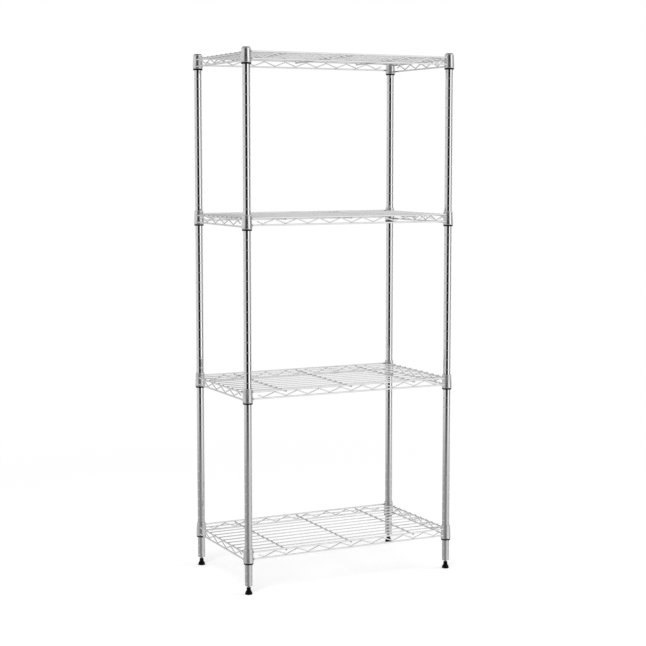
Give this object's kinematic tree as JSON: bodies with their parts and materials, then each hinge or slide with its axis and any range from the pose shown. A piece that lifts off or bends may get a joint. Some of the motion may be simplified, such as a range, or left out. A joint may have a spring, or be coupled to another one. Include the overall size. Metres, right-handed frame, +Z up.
{
  "type": "wire shelving unit",
  "caption": "Free-standing chrome wire shelving unit: grooved round posts, welded wire shelves on black split sleeves, and levelling feet.",
  "frame": {"origin": "on the floor at the centre of the footprint", "axes": "+Z up, +X to the right along the long front, front faces -Y"},
  "size_m": [0.6004, 0.3454, 1.3635],
  "materials": {
    "chrome_post": "bright chrome plate on a grooved steel tube",
    "chrome_wire": "bright chrome plate on drawn steel wire",
    "chrome_collar": "bright chrome plate on a pressed steel collar",
    "black_plastic": "moulded black plastic",
    "zinc_stud": "zinc-plated threaded stud"
  },
  "bodies": {
    "frame": {"post_front_left": "chrome_post", "post_cap_front_left": "black_plastic", "foot_insert_front_left": "black_plastic", "post_front_right": "chrome_post", "post_cap_front_right": "black_plastic", "foot_insert_front_right": "black_plastic", "post_back_left": "chrome_post", "post_cap_back_left": "black_plastic", "foot_insert_back_left": "black_plastic", "post_back_right": "chrome_post", "post_cap_back_right": "black_plastic", "foot_insert_back_right": "black_plastic", "bottom_shelf_split_sleeves": "black_plastic", "lower_shelf_split_sleeves": "black_plastic", "upper_shelf_split_sleeves": "black_plastic", "top_shelf_split_sleeves": "black_plastic"},
    "bottom_shelf": {"bottom_shelf_collars": "chrome_collar", "bottom_shelf_long_top_rails": "chrome_wire", "bottom_shelf_long_bottom_rails": "chrome_wire", "bottom_shelf_end_top_rails": "chrome_wire", "bottom_shelf_end_bottom_rails": "chrome_wire", "bottom_shelf_long_zigzag_wires": "chrome_wire", "bottom_shelf_end_zigzag_wires": "chrome_wire", "bottom_shelf_deck_wires": "chrome_wire", "bottom_shelf_cross_bars": "chrome_wire"},
    "lower_shelf": {"lower_shelf_collars": "chrome_collar", "lower_shelf_long_top_rails": "chrome_wire", "lower_shelf_long_bottom_rails": "chrome_wire", "lower_shelf_end_top_rails": "chrome_wire", "lower_shelf_end_bottom_rails": "chrome_wire", "lower_shelf_long_zigzag_wires": "chrome_wire", "lower_shelf_end_zigzag_wires": "chrome_wire", "lower_shelf_deck_wires": "chrome_wire", "lower_shelf_cross_bars": "chrome_wire"},
    "upper_shelf": {"upper_shelf_collars": "chrome_collar", "upper_shelf_long_top_rails": "chrome_wire", "upper_shelf_long_bottom_rails": "chrome_wire", "upper_shelf_end_top_rails": "chrome_wire", "upper_shelf_end_bottom_rails": "chrome_wire", "upper_shelf_long_zigzag_wires": "chrome_wire", "upper_shelf_end_zigzag_wires": "chrome_wire", "upper_shelf_deck_wires": "chrome_wire", "upper_shelf_cross_bars": "chrome_wire"},
    "top_shelf": {"top_shelf_collars": "chrome_collar", "top_shelf_long_top_rails": "chrome_wire", "top_shelf_long_bottom_rails": "chrome_wire", "top_shelf_end_top_rails": "chrome_wire", "top_shelf_end_bottom_rails": "chrome_wire", "top_shelf_long_zigzag_wires": "chrome_wire", "top_shelf_end_zigzag_wires": "chrome_wire", "top_shelf_deck_wires": "chrome_wire", "top_shelf_cross_bars": "chrome_wire"},
    "front_left_foot_stud": {"foot_stud_front_left": "zinc_stud"},
    "front_left_foot_pad": {"foot_pad_front_left": "black_plastic"},
    "front_right_foot_stud": {"foot_stud_front_right": "zinc_stud"},
    "front_right_foot_pad": {"foot_pad_front_right": "black_plastic"},
    "back_left_foot_stud": {"foot_stud_back_left": "zinc_stud"},
    "back_left_foot_pad": {"foot_pad_back_left": "black_plastic"},
    "back_right_foot_stud": {"foot_stud_back_right": "zinc_stud"},
    "back_right_foot_pad": {"foot_pad_back_right": "black_plastic"}
  },
  "joints": [
    {"name": "bottom_shelf_lift", "type": "slide", "parent": "frame", "child": "bottom_shelf", "axis": [0, 0, 1], "range_m": [0, 0.365]},
    {"name": "lower_shelf_lift", "type": "slide", "parent": "frame", "child": "lower_shelf", "axis": [0, 0, 1], "range_m": [0, 0.39]},
    {"name": "upper_shelf_lift", "type": "slide", "parent": "frame", "child": "upper_shelf", "axis": [0, 0, 1], "range_m": [0, 0.365]},
    {"name": "top_shelf_lift", "type": "slide", "parent": "frame", "child": "top_shelf", "axis": [0, 0, 1], "range_m": [0, 0.045]},
    {"name": "front_left_foot_travel", "type": "slide", "parent": "frame", "child": "front_left_foot_stud", "axis": [0, 0, -1], "range_m": [-0.004, 0.015]},
    {"name": "front_left_foot_turn", "type": "hinge", "parent": "front_left_foot_stud", "child": "front_left_foot_pad", "pos_m": [-0.287, -0.1595, 0], "axis": [0, 0, -1], "range_deg": [-1476, 5436]},
    {"name": "front_right_foot_travel", "type": "slide", "parent": "frame", "child": "front_right_foot_stud", "axis": [0, 0, -1], "range_m": [-0.004, 0.015]},
    {"name": "front_right_foot_turn", "type": "hinge", "parent": "front_right_foot_stud", "child": "front_right_foot_pad", "pos_m": [0.287, -0.1595, 0], "axis": [0, 0, -1], "range_deg": [-1476, 5436]},
    {"name": "back_left_foot_travel", "type": "slide", "parent": "frame", "child": "back_left_foot_stud", "axis": [0, 0, -1], "range_m": [-0.004, 0.015]},
    {"name": "back_left_foot_turn", "type": "hinge", "parent": "back_left_foot_stud", "child": "back_left_foot_pad", "pos_m": [-0.287, 0.1595, 0], "axis": [0, 0, -1], "range_deg": [-1476, 5436]},
    {"name": "back_right_foot_travel", "type": "slide", "parent": "frame", "child": "back_right_foot_stud", "axis": [0, 0, -1], "range_m": [-0.004, 0.015]},
    {"name": "back_right_foot_turn", "type": "hinge", "parent": "back_right_foot_stud", "child": "back_right_foot_pad", "pos_m": [0.287, 0.1595, 0], "axis": [0, 0, -1], "range_deg": [-1476, 5436]}
  ],
  "couplings": [
    {"joint": "front_left_foot_turn", "follows": "front_left_foot_travel", "rad_per_m": 6283.2},
    {"joint": "front_right_foot_turn", "follows": "front_right_foot_travel", "rad_per_m": 6283.2},
    {"joint": "back_left_foot_turn", "follows": "back_left_foot_travel", "rad_per_m": 6283.2},
    {"joint": "back_right_foot_turn", "follows": "back_right_foot_travel", "rad_per_m": 6283.2}
  ]
}
